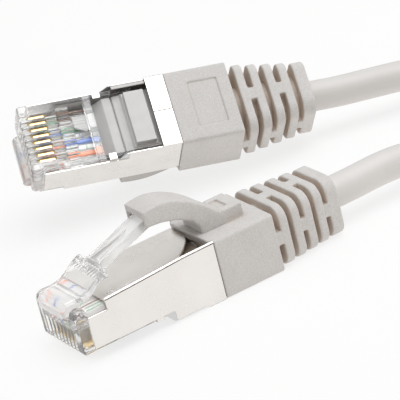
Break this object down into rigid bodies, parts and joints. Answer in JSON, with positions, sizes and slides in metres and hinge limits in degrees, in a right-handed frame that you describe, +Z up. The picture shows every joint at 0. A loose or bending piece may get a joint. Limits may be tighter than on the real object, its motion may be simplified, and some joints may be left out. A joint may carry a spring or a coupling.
{
  "type": "ethernet patch cable",
  "caption": "Shielded network patch cable with a latching modular plug, latch hood and slotted strain relief on each end, its spare length coiled and tied.",
  "frame": {"origin": "middle of the flat land under plug A's boot, on the surface that everything stands on", "axes": "+X along plug A from its nose to its cable, +Z up; plug A lies with its latch up, plug B beside it at +Y, rolled onto the edge of its latch hood"},
  "size_m": [0.152, 0.0704, 0.0178],
  "materials": {
    "clear_plastic": "clear moulded polycarbonate",
    "shield_metal": "satin nickel-plated sheet",
    "load_bar_plastic": "clear moulded bar",
    "mould_plastic": "plain grey moulding",
    "foil": "thin bright foil",
    "cable_jacket": "smooth light grey jacket",
    "boot_rubber": "finely textured warm grey moulding",
    "contact_gold": "gold-plated",
    "tie_fabric": "dark hook-and-loop strap",
    "wire_white_orange": "solid insulation",
    "wire_orange": "solid insulation",
    "wire_white_green": "solid insulation",
    "wire_blue": "solid insulation",
    "wire_white_blue": "solid insulation",
    "wire_green": "solid insulation",
    "wire_white_brown": "solid insulation",
    "wire_brown": "solid insulation"
  },
  "bodies": {
    "root": {"plug_housing_a": "clear_plastic", "shield_a": "shield_metal", "load_bar_a": "load_bar_plastic", "inner_mould_a": "mould_plastic", "foil_screen_a": "foil", "cable_jacket_a": "cable_jacket", "boot_a": "boot_rubber", "plug_housing_b": "clear_plastic", "shield_b": "shield_metal", "load_bar_b": "load_bar_plastic", "inner_mould_b": "mould_plastic", "foil_screen_b": "foil", "cable_jacket_b": "cable_jacket", "boot_b": "boot_rubber", "contact_a1": "contact_gold", "contact_a2": "contact_gold", "contact_a3": "contact_gold", "contact_a4": "contact_gold", "contact_a5": "contact_gold", "contact_a6": "contact_gold", "contact_a7": "contact_gold", "contact_a8": "contact_gold", "wire_a1": "wire_white_orange", "wire_a2": "wire_orange", "wire_a3": "wire_white_green", "wire_a4": "wire_blue", "wire_a5": "wire_white_blue", "wire_a6": "wire_green", "wire_a7": "wire_white_brown", "wire_a8": "wire_brown", "contact_b1": "contact_gold", "contact_b2": "contact_gold", "contact_b3": "contact_gold", "contact_b4": "contact_gold", "contact_b5": "contact_gold", "contact_b6": "contact_gold", "contact_b7": "contact_gold", "contact_b8": "contact_gold", "wire_b1": "wire_white_orange", "wire_b2": "wire_orange", "wire_b3": "wire_white_green", "wire_b4": "wire_blue", "wire_b5": "wire_white_blue", "wire_b6": "wire_green", "wire_b7": "wire_white_brown", "wire_b8": "wire_brown", "cable_lead_a": "cable_jacket", "cable_coil": "cable_jacket", "cable_lead_b": "cable_jacket", "coil_tie": "tie_fabric"},
    "latch_a": {"latch_a": "clear_plastic"},
    "hood_a": {"latch_hood_a": "boot_rubber"},
    "latch_b": {"latch_b": "clear_plastic"},
    "hood_b": {"latch_hood_b": "boot_rubber"}
  },
  "joints": [
    {"name": "hood_a_press", "type": "hinge", "parent": "root", "child": "hood_a", "pos_m": [-0.00007, 0, 0.0096], "axis": [0, -1, 0], "range_deg": [0, 18], "stiffness_Nm_per_rad": 0.1},
    {"name": "latch_a_flex", "type": "hinge", "parent": "root", "child": "latch_a", "pos_m": [-0.02028, 0, 0.0081], "axis": [0, 1, 0], "range_deg": [0, 10.8], "stiffness_Nm_per_rad": 0.01},
    {"name": "hood_b_press", "type": "hinge", "parent": "root", "child": "hood_b", "pos_m": [0.0173, 0.03634, 0.00525], "axis": [0.2934, 0.7028, 0.6481], "range_deg": [0, 18], "stiffness_Nm_per_rad": 0.1},
    {"name": "latch_b_flex", "type": "hinge", "parent": "root", "child": "latch_b", "pos_m": [-0.00206, 0.04101, 0.00894], "axis": [-0.2934, -0.7028, -0.6481], "range_deg": [0, 10.8], "stiffness_Nm_per_rad": 0.01}
  ],
  "couplings": [
    {"joint": "latch_a_flex", "follows": "hood_a_press", "ratio": 0.6},
    {"joint": "latch_b_flex", "follows": "hood_b_press", "ratio": 0.6}
  ]
}
